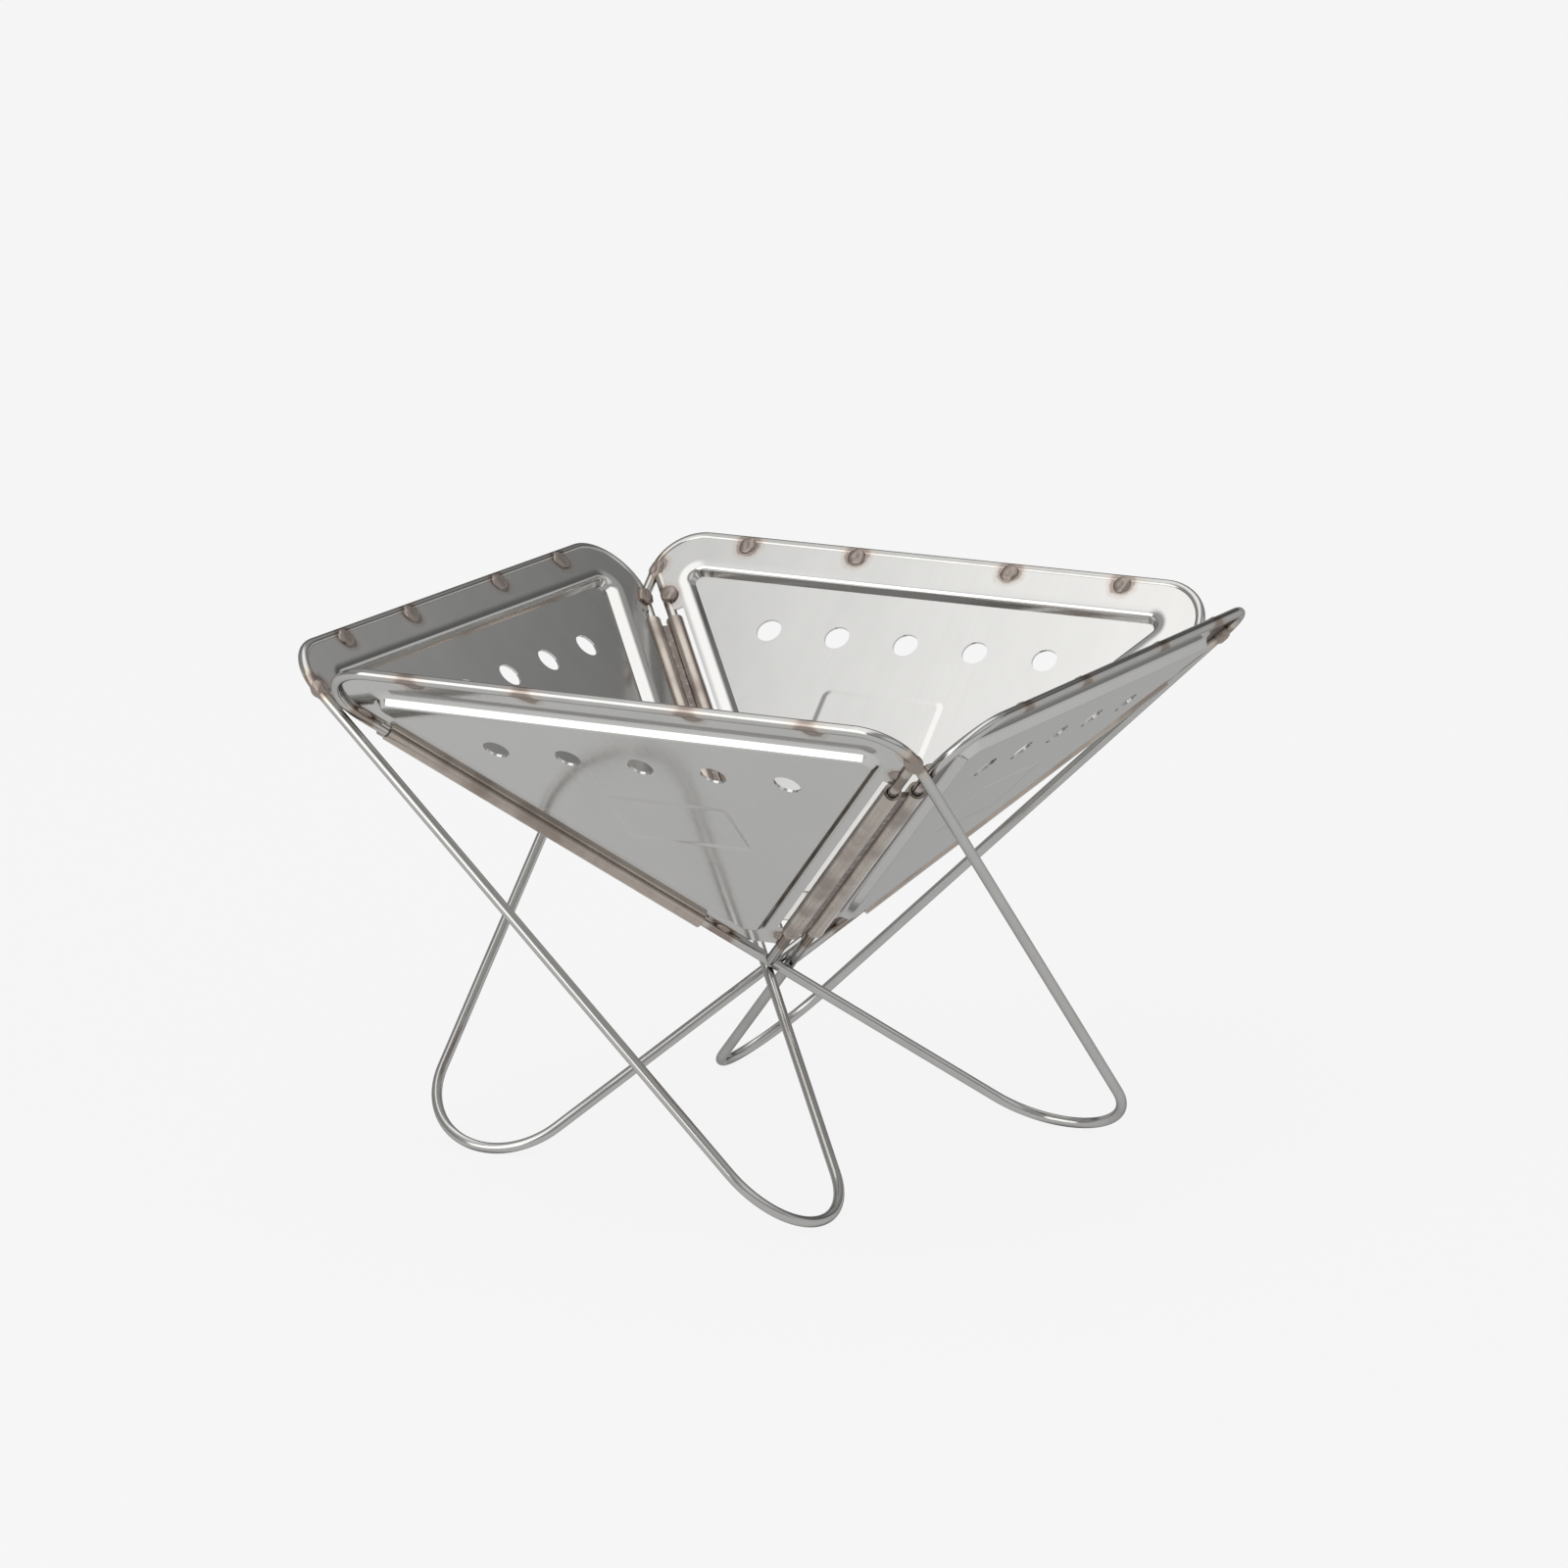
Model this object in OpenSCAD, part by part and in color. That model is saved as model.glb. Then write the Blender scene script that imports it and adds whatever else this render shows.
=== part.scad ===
// Folding fire pit: four steel leaves hinged into an open pyramid bowl.
// Each leaf is a stamped sheet inside a triangular loop of round rod.
// One side of the loop is the top rim, one is the upright of the leg,
// and the long side is the hinge line that runs on below the bowl to the foot.
// The origin is on the ground, under the middle of the bowl.

/* [Bowl] */
// Distance from the middle of the bowl to the centre of each rim rod
rim_half = 172; // [150:1:220]
// Slope of each leaf, measured from the ground
slope = 43.5; // [38:0.5:50]

/* [Frame rods] */
// Diameter of the frame rods
rod_d = 5; // [4:0.1:5.2]
// Distance along the rim from the hinge corner to the leg
leg_inset = 15; // [12:0.5:24]
// Bend radius at the hinge corner of the rim
bend_hinge = 24; // [18:0.5:28]
// Bend radius at the leg corner of the rim
bend_leg = 22; // [18:0.5:26]
// Bend radius of the foot
bend_foot = 39; // [30:0.5:45]

/* [Hinges] */
// Distance between the two hinge rods of a corner
hinge_pitch = 11.3; // [11:0.1:13]
// Outer diameter of the hinge sleeves
sleeve_od = 8.4; // [7.6:0.1:9]
// Bore of a sleeve less the rod that turns in it
sleeve_clear = 0.6; // [0.4:0.05:1]
// Distance from the point of the bowl to the lower end of the sleeves
sleeve_low = 40; // [34:1:60]
// Distance from the hinge corner of the rim to the upper end of the sleeves
sleeve_drop = 62; // [56:1:90]
// Thickness of the weld between two sleeves
bridge_t = 2.4; // [1.6:0.1:4]
// Length of the sleeves left bare at each end of that weld
bridge_end = 4; // [2:0.5:12]

/* [Sheets] */
// Thickness of the sheet
sheet_t = 1.2; // [0.8:0.1:2]
// Gap between the edge of the sheet and a rod
rod_gap = 0.4; // [0.3:0.05:1]
// Gap between the edge of the sheet and a sleeve
sleeve_gap = 2; // [1:0.1:4]
// Room past each end of a sleeve in the notch of the sheet
notch_end = 5; // [2:0.5:8]
// Height of the lower edge of the sheet above the point, along the leaf
sheet_low = 17; // [14:0.5:24]
// Shift of the tray, the holes, the pad and the rim welds towards the leg
stamp_shift = 4.5; // [0:0.5:6]
// Distance from the rim to the pressed tray
tray_top = 18; // [14:0.5:26]
// Distance from the hinge lines to the pressed tray, before the shift
tray_side = 15.5; // [13:0.5:18]
// Height of the lower end of the tray above the point, along the leaf
tray_low = 33; // [30:0.5:44]
// Depth of the pressed tray
tray_depth = 4.5; // [2:0.1:6]
// Corner radius of the tray
tray_r = 6; // [4:0.5:12]

/* [Air holes] */
// Diameter of an air hole
hole_d = 12.5; // [8:0.5:16]
// Number of air holes in a leaf
hole_count = 5; // [3:1:6]
// Distance of the row of holes below the rim
hole_drop = 48; // [42:1:60]
// Distance from the side of the tray to the first hole
hole_end = 36.5; // [26:0.5:44]

/* [Pressed pad] */
// Width of the plain pressed pad
pad_w = 65; // [30:1:70]
// Height of the plain pressed pad
pad_h = 38; // [20:1:44]
// Distance of the middle of the pad below the rim
pad_drop = 96; // [86:1:112]
// Height of the pad
pad_depth = 0.8; // [0.4:0.1:1]

/* [Welds] */
// Thickness of a weld nugget
weld_d = 5; // [3:0.1:6]
// Length of a weld nugget along its rod
weld_l = 9; // [6:0.5:12]
// Distance of the outer nuggets from the end of the straight rim
weld_end = 17; // [10:1:30]
// Distance of the inner nuggets from the middle of the rim
weld_inner = 41; // [20:1:60]
// Distance of the upper nuggets above the sleeves
tack_up = 15; // [10:1:16]
// Distance of the lower nuggets below the sleeves
tack_down = 11; // [9:1:13]
// Gap left between a weld and the metal it holds
weld_gap = 0.05; // [0.02:0.01:0.1]

/* [Hidden] */
$fn = 48;
LEAVES = ["front", "right", "back", "left"];

// The point of each leaf stands off the middle, so that the hinge rods of a corner run parallel
point_out = hinge_pitch / sqrt(2);
run = rim_half - point_out;
rim_v = run / cos(slope);
// Half of the leaf's angle at its point, between the centre line and a hinge line
half_angle = atan(cos(slope));
sin_half = sin(half_angle);
cos_half = cos(half_angle);
hinge_len = rim_v / cos_half;
// Rise of the hinge lines above the ground
hinge_rise = asin(cos_half * sin(slope));

rod_r = rod_d / 2;
leg_u = run - leg_inset;
hinge_corner = [-run, rim_v];
leg_corner = [leg_u, rim_v];
foot_corner = [leg_u, -leg_u / tan(half_angle)];
// Lengths of straight rod taken up by the three bends
cut_hinge = bend_hinge * tan((90 + half_angle) / 2);
cut_leg = bend_leg;
cut_foot = bend_foot / tan(half_angle / 2);
foot_low = foot_corner[1] + cut_foot - bend_foot;
point_z = rod_r - foot_low * sin(slope);

sleeve_high = hinge_len - sleeve_drop;
sleeve_len = sleeve_high - sleeve_low;
rod_off = rod_r + rod_gap;
// Collar over the end of a bend: half of its length, and its height above the rod
collar_half = 0.3;
collar_up = 0.02;
sleeve_off = sleeve_od / 2 + sleeve_gap;

steel = [0.72, 0.71, 0.69];
dark_steel = [0.60, 0.59, 0.57];
warm_steel = [0.52, 0.47, 0.43];
weld_brown = [0.34, 0.29, 0.26];

// A point at distance s up a hinge line and at distance off inside it
function edge_point(s, off) = [s * sin_half - off * cos_half, s * cos_half + off * sin_half];
// Half width of the leaf at height v, kept off inside the hinge lines
function half_width(v, off) = v * tan(half_angle) - off / cos_half;
function arc_points(c, r, from, to, n = 10) =
    [for (i = [0:n]) c + r * [cos(from + (to - from) * i / n), sin(from + (to - from) * i / n)]];
function mirrored(points) = [for (i = [len(points) - 1:-1:0]) [-points[i][0], points[i][1]]];

// Right half of the sheet's outline, with a notch for the sleeve and a top corner round a bend of the rod
function sheet_half(centre, r, from) =
    let (low_s = (sheet_low - rod_off * sin_half) / cos_half)
    concat(
        [
            edge_point(low_s, rod_off),
            edge_point(sleeve_low - notch_end, rod_off),
            edge_point(sleeve_low - notch_end, sleeve_off),
            edge_point(sleeve_high + notch_end, sleeve_off),
            edge_point(sleeve_high + notch_end, rod_off),
        ],
        arc_points(centre, r, from, 90)
    );

// The half at the hinge corner, whose bend runs on into the hinge line
function sheet_hinge_half() =
    let (corner_v = rim_v - bend_hinge)
    sheet_half([half_width(corner_v, bend_hinge), corner_v], bend_hinge - rod_off, -half_angle);

// The half at the leg corner, whose bend meets the hinge line at an angle
function sheet_leg_half() =
    let (
        centre = leg_corner - [bend_leg, bend_leg],
        r = bend_leg - rod_off,
        room = centre[1] * sin_half - centre[0] * cos_half - rod_off
    )
    sheet_half(centre, r, max(0, acos(min(1, room / r)) - half_angle));

// Right half of the tray's outline, drawn in by an inset
function tray_half(inset) =
    let (
        r = tray_r - inset,
        corner_v = rim_v - tray_top - tray_r,
        corner = [half_width(corner_v, tray_side + tray_r), corner_v],
        low = tray_low + inset
    )
    concat(
        [[half_width(low, tray_side + inset), low]],
        arc_points(corner, r, -half_angle, 90)
    );

// Puts a leaf's own plane in place: x along the rim, y up the slope, z outwards
module leaf(turn) {
    rotate([0, 0, 90 * turn])
        translate([0, -point_out, point_z])
            rotate([180 - slope, 0, 0])
                children();
}

// Puts a corner's hinge in place: x up the hinge, y from one leaf towards the next
module corner(turn) {
    rotate([0, 0, 90 * turn - 45])
        translate([hinge_pitch / 2, 0, point_z])
            rotate([0, -hinge_rise, 0])
                children();
}

// A straight rod between two points of the leaf's plane
module rod_between(p, q, d) {
    way = q - p;
    translate([p[0], p[1], 0])
        rotate([0, 0, atan2(way[1], way[0])])
            rotate([0, 90, 0])
                cylinder(d = d, h = norm(way));
}

// A bend of rod about a centre in the leaf's plane
module rod_bend(c, r, from, sweep, d) {
    translate([c[0], c[1], 0])
        rotate([0, 0, from])
            rotate_extrude(angle = sweep)
                translate([r, 0])
                    circle(d = d);
}

// A straight stretch of the loop, with a thin collar over each end where a bend begins
module loop_rod(p, q, d) {
    way = (q - p) / norm(q - p);
    rod_between(p, q, d);
    for (end = [p, q])
        rod_between(end - collar_half * way, end + collar_half * way, d + 2 * collar_up);
}

// The closed triangular loop of one leaf
module frame_loop(d) {
    down = [sin_half, -cos_half];
    loop_rod(hinge_corner + [cut_hinge, 0], leg_corner - [cut_leg, 0], d);
    loop_rod(leg_corner - [0, cut_leg], foot_corner + [0, cut_foot], d);
    loop_rod(foot_corner - cut_foot * down, hinge_corner + cut_hinge * down, d);
    hinge_bend_v = rim_v - bend_hinge;
    rod_bend([-half_width(hinge_bend_v, bend_hinge), hinge_bend_v], bend_hinge, 90, 90 + half_angle, d);
    rod_bend(leg_corner - [bend_leg, bend_leg], bend_leg, 0, 90, d);
    rod_bend([leg_u - bend_foot, foot_corner[1] + cut_foot], bend_foot, half_angle - 180, 180 - half_angle, d);
}

// The straight hinge rod, from the point of the leaf up to the leg
module hinge_rod_bar(d) {
    rod_between([0, 0], [leg_u, leg_u / tan(half_angle)], d);
}

module sheet_body() {
    pad_v = rim_v - pad_drop;
    hole_v = rim_v - hole_drop;
    hole_span = half_width(hole_v, tray_side) - hole_end;
    floor_z = tray_depth - sheet_t / 2;
    difference() {
        union() {
            translate([0, 0, -sheet_t / 2])
                linear_extrude(sheet_t)
                    polygon(concat(sheet_leg_half(), mirrored(sheet_hinge_half())));
            translate([stamp_shift, 0, -sheet_t / 2])
                linear_extrude(tray_depth + sheet_t)
                    polygon(concat(tray_half(0), mirrored(tray_half(0))));
        }
        translate([stamp_shift, 0, 0]) {
            difference() {
                translate([0, 0, -tray_depth])
                    linear_extrude(tray_depth + floor_z)
                        polygon(concat(tray_half(sheet_t), mirrored(tray_half(sheet_t))));
                translate([-pad_w / 2, pad_v - pad_h / 2, floor_z - pad_depth])
                    cube([pad_w, pad_h, 2 * pad_depth]);
            }
            translate([sheet_t - pad_w / 2, pad_v + sheet_t - pad_h / 2, floor_z + sheet_t - pad_depth])
                cube([pad_w - 2 * sheet_t, pad_h - 2 * sheet_t, 2 * pad_depth]);
            for (i = [0:hole_count - 1])
                translate([-hole_span + i * 2 * hole_span / (hole_count - 1), hole_v, -tray_depth])
                    cylinder(d = hole_d, h = 3 * tray_depth);
        }
    }
}

module panel(turn) {
    color(steel)
        leaf(turn)
            sheet_body();
}

module frame(turn) {
    color(dark_steel)
        leaf(turn)
            frame_loop(rod_d);
}

module hinge_rod(turn) {
    color(warm_steel)
        leaf(turn)
            difference() {
                hinge_rod_bar(rod_d);
                frame_loop(rod_d + 2 * weld_gap);
            }
}

// A weld nugget with its long way along x: an ellipse of six straight steps, turned
module nugget() {
    rotate([0, 90, 0])
        rotate_extrude()
            polygon([for (i = [0:6]) [weld_d / 2 * sin(30 * i), weld_l / 2 * cos(30 * i)]]);
}

// Nuggets in the inner corner of sheet and rod: four on the rim and two on each hinge line
module welds(turn) {
    straight = run - cut_hinge - weld_end;
    rim_spots = [-straight, -weld_inner, weld_inner, straight];
    line_spots = [sleeve_high + tack_up, sleeve_low - tack_down];
    weld_r = weld_d / 2 + weld_gap;
    depth = sheet_t / 2 + weld_r;
    off = sqrt(pow(rod_r + weld_r, 2) - pow(depth, 2));
    color(weld_brown)
        leaf(turn) {
            for (u = rim_spots)
                translate([u + stamp_shift, rim_v - off, -depth])
                    nugget();
            for (s = line_spots)
                for (side = [-1, 1])
                    translate([side * edge_point(s, off)[0], edge_point(s, off)[1], -depth])
                        rotate([0, 0, 90 - side * half_angle])
                            nugget();
        }
}

// A hinge sleeve; side is -1 on the leaf's own rod and 1 on the next leaf's rod
module sleeve(turn, side) {
    color(warm_steel)
        corner(turn)
            translate([sleeve_low, side * hinge_pitch / 2, 0])
                rotate([0, 90, 0])
                    difference() {
                        cylinder(d = sleeve_od, h = sleeve_len);
                        translate([0, 0, -1])
                            cylinder(d = rod_d + sleeve_clear, h = sleeve_len + 2);
                    }
}

// The weld that joins the two sleeves of a corner
module bridge(turn) {
    color(weld_brown)
        corner(turn)
            difference() {
                translate([sleeve_low + bridge_end, -hinge_pitch / 2, -bridge_t / 2])
                    cube([sleeve_len - 2 * bridge_end, hinge_pitch, bridge_t]);
                for (side = [-1, 1])
                    translate([sleeve_low, side * hinge_pitch / 2, 0])
                        rotate([0, 90, 0])
                            cylinder(d = sleeve_od + 2 * weld_gap, h = sleeve_len);
            }
}

for (i = [0:3]) {
    panel(i);
    frame(i);
    hinge_rod(i);
    welds(i);
}

sleeve(0, -1);  // sleeve_front_right_a
sleeve(0, 1);  // sleeve_front_right_b
bridge(0);  // bridge_front_right
sleeve(1, -1);  // sleeve_back_right_a
sleeve(1, 1);  // sleeve_back_right_b
sleeve(2, -1);  // sleeve_back_left_a
sleeve(2, 1);  // sleeve_back_left_b
bridge(2);  // bridge_back_left
sleeve(3, -1);  // sleeve_front_left_a
sleeve(3, 1);  // sleeve_front_left_b
bridge(3);  // bridge_front_left
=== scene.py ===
"""Looks of a folding fire pit: stamped leaves, bent rod frames, hinge sleeves and welds."""
import math

import bmesh
import bpy
from bpy.props import FloatProperty, FloatVectorProperty, IntProperty, PointerProperty
from mathutils import Matrix, Vector, noise


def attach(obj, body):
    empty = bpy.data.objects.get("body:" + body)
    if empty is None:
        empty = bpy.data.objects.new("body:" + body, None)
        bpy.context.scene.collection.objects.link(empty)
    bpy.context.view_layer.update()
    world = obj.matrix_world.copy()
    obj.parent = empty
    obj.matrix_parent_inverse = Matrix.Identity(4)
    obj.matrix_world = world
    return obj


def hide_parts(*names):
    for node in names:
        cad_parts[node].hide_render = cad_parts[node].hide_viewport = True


bl_info = {
    "name": "Folding fire pit",
    "version": (1, 0, 0),
    "blender": (4, 5, 0),
    "location": "3D View > Sidebar > Fire pit",
    "description": "Dresses the packed fire pit with stamped sheets, rod frames, welds and heat tints",
    "category": "Object",
}

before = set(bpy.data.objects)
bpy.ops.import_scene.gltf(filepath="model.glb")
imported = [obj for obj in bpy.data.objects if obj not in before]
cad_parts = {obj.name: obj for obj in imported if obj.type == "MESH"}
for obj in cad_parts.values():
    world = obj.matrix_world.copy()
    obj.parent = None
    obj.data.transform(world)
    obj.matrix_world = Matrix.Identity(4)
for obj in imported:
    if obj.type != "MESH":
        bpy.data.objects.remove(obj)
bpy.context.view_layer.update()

LEAVES = ("front", "right", "back", "left")
CORNERS = ("front_right", "back_right", "back_left", "front_left")
JOINED_CORNERS = ("front_right", "back_left", "front_left")

# The photograph's camera, fitted to the rods, with pixels of its frame and a sensor in millimetres
FRAME_SIDE = 1600
SENSOR = 36.0
CAMERA_TURN = math.radians(27.70)
CAMERA_RISE = math.radians(14.67)
CAMERA_DISTANCE = 3.363
CAMERA_FOCAL = 7403.0
AIM_RIGHT = 6.16
AIM_UP = 176.4

# Half sizes of the weld nuggets, and where their middles sit against the rod
RIM_NUGGET = (0.0048, 0.0050, 0.0020)
RIM_NUGGET_DROP = 0.0036
RIM_NUGGET_IN = 0.0015
LINE_NUGGET = (0.0050, 0.0044, 0.0028)
LINE_NUGGET_SIDE = 0.0017
LINE_NUGGET_IN = 0.0021
END_NUGGET = (0.0042, 0.0058, 0.0038)
END_NUGGET_SHIFT = (-0.0012, -0.002, 0)
RIM_HEAT_DROP = 0.0035

# Angles above which an edge stays sharp
SHEET_SHARP = math.radians(32)
ROD_SHARP = math.radians(60)
WELD_SHARP = math.radians(80)

# The floor and the soft box of the studio, in metres
FLOOR_RADIUS = 24.0
LAMP_PLACE = (-0.65, -1.95, 0.85)
LAMP_AIM = (0, 0, 0.15)
LAMP_SIZE = (1.9, 1.6)
LAMP_GLOW = 1.55


def length(name, description, default):
    """A size in metres that a user may change."""
    return FloatProperty(name=name, description=description, default=default, unit="LENGTH", precision=5)


def share(name, description, default):
    """A value from 0 to 1."""
    return FloatProperty(
        name=name, description=description, default=default, min=0.0, max=1.0, subtype="FACTOR"
    )


def colour(name, description, default):
    """A colour in linear light."""
    return FloatVectorProperty(
        name=name, description=description, default=default, size=3, subtype="COLOR", min=0, max=1
    )


class PitSizes(bpy.types.PropertyGroup):
    """Sizes of the pit: those of the solids, and finer ones for the bends, the pad and the welds."""

    rim_half: length("Rim distance", "From the middle of the bowl to a rim rod", 0.172)
    slope: FloatProperty(
        name="Slope",
        description="Slope of a leaf",
        default=math.radians(43.5),
        unit="ROTATION",
        subtype="ANGLE",
    )
    rod_d: length("Rod", "Diameter of the frame rods", 0.005)
    leg_inset: length("Leg inset", "From the hinge corner to the leg, along the rim", 0.015)
    bend_hinge: length("Hinge bend", "Bend radius at the hinge corner", 0.024)
    bend_leg: length("Leg bend", "Bend radius at the leg corner", 0.022)
    bend_foot: length("Foot bend", "Bend radius of the foot", 0.039)
    hinge_pitch: length("Hinge pitch", "Between the two hinge rods of a corner", 0.0113)
    sleeve_od: length("Sleeve", "Outer diameter of a hinge sleeve", 0.0084)
    sleeve_low: length("Sleeve low end", "From the point to the lower end of a sleeve", 0.040)
    sleeve_drop: length("Sleeve top end", "From the hinge corner to the upper end of a sleeve", 0.062)
    sheet_t: length("Sheet", "Thickness of the sheet", 0.0012)
    rod_tuck: length("Tuck", "How far the sheet reaches into the round of a rod", 0.0008)
    sleeve_gap: length("Sleeve gap", "Between the sheet and a sleeve", 0.002)
    notch_end: length("Notch", "Room past each end of a sleeve", 0.005)
    sheet_low: length("Sheet low edge", "Lower edge of the sheet above the point", 0.017)
    stamp_shift: length("Stamp shift", "Tray, holes, pad and rim welds towards the leg", 0.0045)
    tray_top: length("Tray top", "From the rim to the middle of the tray's wall", 0.0186)
    tray_side: length("Tray side", "From the hinge lines to the tray's wall, before the shift", 0.0161)
    tray_low: length("Tray low end", "Lower end of the tray above the point", 0.0336)
    tray_depth: length("Tray depth", "Depth of the pressed tray", 0.0045)
    tray_r: length("Tray corner", "Corner radius at the middle of the tray's wall", 0.006)
    tray_round: length("Tray edge", "Bend radius from the flange into the wall", 0.003)
    tray_soft: length("Tray roll-off", "Width of the flange that already leans towards the wall", 0.003)
    tray_fillet: length("Tray fillet", "Bend radius from the wall into the floor", 0.001)
    tray_lean: FloatProperty(
        name="Wall lean",
        description="Steepest lean of the tray's wall",
        default=math.radians(58),
        subtype="ANGLE",
    )
    hole_d: length("Air hole", "Diameter of an air hole", 0.0125)
    hole_count: IntProperty(name="Air holes", description="Air holes in a leaf", default=5, min=2, max=8)
    hole_drop: length("Hole row", "Row of holes below the rim", 0.048)
    hole_end: length("First hole", "From the side of the tray to the first hole", 0.0359)
    pad_w: length("Pad width", "Width of the plain pressed pad", 0.065)
    pad_h: length("Pad height", "Height of the plain pressed pad", 0.038)
    pad_drop: length("Pad place", "Middle of the pad below the rim", 0.096)
    pad_depth: length("Pad depth", "Height of the pad", 0.00018)
    pad_r: length("Pad corner", "Corner radius of the pad", 0.005)
    weld_end: length("Outer nugget", "From the end of the straight rim", 0.017)
    weld_inner: length("Inner nugget", "From the middle of the stamped tray", 0.041)
    tack_up: length("Upper nugget", "Above the sleeves", 0.015)
    tack_down: length("Lower nugget", "Below the sleeves", 0.011)


class PitFinish(bpy.types.PropertyGroup):
    """Colours and gloss of the pit."""

    sheet_colour: colour("Sheet", "Colour of the rolled sheet", (0.66, 0.655, 0.64))
    rod_colour: colour("Rod", "Colour of the polished rod", (0.55, 0.545, 0.53))
    tube_colour: colour("Sleeve", "Colour of the heat-tinted sleeve", (0.49, 0.435, 0.385))
    tube_dark: colour("Sleeve stain", "Colour of the stains on a sleeve", (0.29, 0.24, 0.21))
    weld_colour: colour("Weld", "Colour of a weld nugget", (0.20, 0.17, 0.155))
    weld_light: colour("Weld ripple", "Colour of the bare middle of a weld", (0.50, 0.46, 0.43))
    straw: colour("Straw tint", "Outer ring of the heat tint", (0.56, 0.48, 0.41))
    brown: colour("Brown tint", "Inner ring of the heat tint", (0.25, 0.19, 0.165))
    gold: colour("Gold tint", "Heat tint where the hinge rod meets the leg", (0.66, 0.52, 0.37))
    sheet_rough: share("Sheet roughness", "Mean roughness of the sheet", 0.09)
    rod_rough: share("Rod roughness", "Mean roughness of the rods", 0.14)
    floor_colour: colour("Floor", "Colour of the floor", (0.93, 0.93, 0.93))


class Layout:
    """Places worked out from the sizes, in a leaf's plane: x along the rim, y up the slope, z outwards."""

    def __init__(self, sizes):
        self.sizes = sizes
        self.point_out = sizes.hinge_pitch / math.sqrt(2)
        self.run = sizes.rim_half - self.point_out
        self.rim_v = self.run / math.cos(sizes.slope)
        self.half = math.atan(math.cos(sizes.slope))
        self.hinge_len = self.rim_v / math.cos(self.half)
        self.rod_r = sizes.rod_d / 2
        self.leg_u = self.run - sizes.leg_inset
        self.foot_v = -self.leg_u / math.tan(self.half)
        self.cut_hinge = sizes.bend_hinge * math.tan((math.pi / 2 + self.half) / 2)
        self.cut_foot = sizes.bend_foot / math.tan(self.half / 2)
        foot_low = self.foot_v + self.cut_foot - sizes.bend_foot
        self.point_z = self.rod_r - foot_low * math.sin(sizes.slope)
        self.sleeve_high = self.hinge_len - sizes.sleeve_drop
        self.rod_off = self.rod_r - sizes.rod_tuck
        self.sleeve_off = sizes.sleeve_od / 2 + sizes.sleeve_gap

    def matrix(self, turn):
        """From a leaf's plane to the pit."""
        place = Matrix.Translation((0, -self.point_out, self.point_z))
        tilt = Matrix.Rotation(math.pi - self.sizes.slope, 4, "X")
        return Matrix.Rotation(math.pi / 2 * turn, 4, "Z") @ place @ tilt

    def edge_point(self, s, off):
        """A point at distance s up the hinge line and off inside it."""
        sin_half, cos_half = math.sin(self.half), math.cos(self.half)
        return Vector((s * sin_half - off * cos_half, s * cos_half + off * sin_half, 0))

    def half_width(self, v, off):
        """Half width of the leaf at height v, kept off inside the hinge lines."""
        return v * math.tan(self.half) - off / math.cos(self.half)

    def line_point(self, v, off):
        """The point of the right hinge line at height v, kept off inside it."""
        return Vector((self.half_width(v, off), v, 0))

    def rim_spots(self):
        """Distances of the rim's welds from the middle of the tray."""
        return (self.run - self.cut_hinge - self.sizes.weld_end, self.sizes.weld_inner)

    def line_spots(self):
        """Places of the welds on the right hinge line."""
        spots = (self.sleeve_high + self.sizes.tack_up, self.sizes.sleeve_low - self.sizes.tack_down)
        return [self.edge_point(s, 0) for s in spots]

    def rod_end(self):
        """Place where the hinge rod meets the leg."""
        return Vector((self.leg_u, self.leg_u / math.tan(self.half), 0))


# Mesh helpers

def edges_at(verts):
    """The edges at some verts, each once and in the same order in every run."""
    return list(dict.fromkeys(e for v in verts for e in v.link_edges))


def loop_of(bm, corners, steps=10):
    """A closed loop of edges through corners (point, radius), with the round ones spun."""
    chains = []
    count = len(corners)
    for i, (point, radius) in enumerate(corners):
        if radius == 0:
            chains.append([bm.verts.new(point)])
            continue
        before = (corners[i - 1][0] - point).normalized()
        after = (corners[(i + 1) % count][0] - point).normalized()
        between = before.angle(after)
        cut = radius / math.tan(between / 2)
        centre = point + (before + after).normalized() * radius / math.sin(between / 2)
        start = bm.verts.new(point + before * cut)
        turn = math.pi - between
        side = 1 if before.cross(after).z < 0 else -1
        angle = side * turn
        spun = bmesh.ops.spin(
            bm, geom=[start], cent=centre, axis=(0, 0, 1), angle=angle, steps=steps, use_duplicate=False
        )
        chain = [start]
        last = [v for v in spun["geom_last"] if isinstance(v, bmesh.types.BMVert)][0]
        while chain[-1] is not last:
            here = chain[-1]
            near = [e.other_vert(here) for e in here.link_edges]
            chain.append([v for v in near if v not in chain][0])
        chains.append(chain)
    for i, chain in enumerate(chains):
        bm.edges.new((chain[-1], chains[(i + 1) % count][0]))
    return edges_at([v for chain in chains for v in chain])


def filled(bm, edges):
    """One flat face inside a loop, facing up."""
    face = bmesh.ops.edgeloop_fill(bm, edges=edges)["faces"][0]
    face.normal_update()
    if face.normal.z < 0:
        face.normal_flip()
    return face


def pressed(bm, face, steps):
    """Presses a face in steps of (inset, depth) and finds the edges round the outermost step."""
    rim = []
    for inset, depth in steps:
        made = bmesh.ops.inset_region(
            bm, faces=[face], thickness=inset, depth=depth, use_boundary=True, use_even_offset=True
        )
        rim = rim or [e for f in made["faces"] for e in f.edges if e.is_boundary]
    return rim


def sharpened(bm, limit):
    """Smooth faces, with the edges sharper than a limit left sharp."""
    for face in bm.faces:
        face.smooth = True
    for edge in bm.edges:
        edge.smooth = edge.calc_face_angle(0.0) < limit


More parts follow.
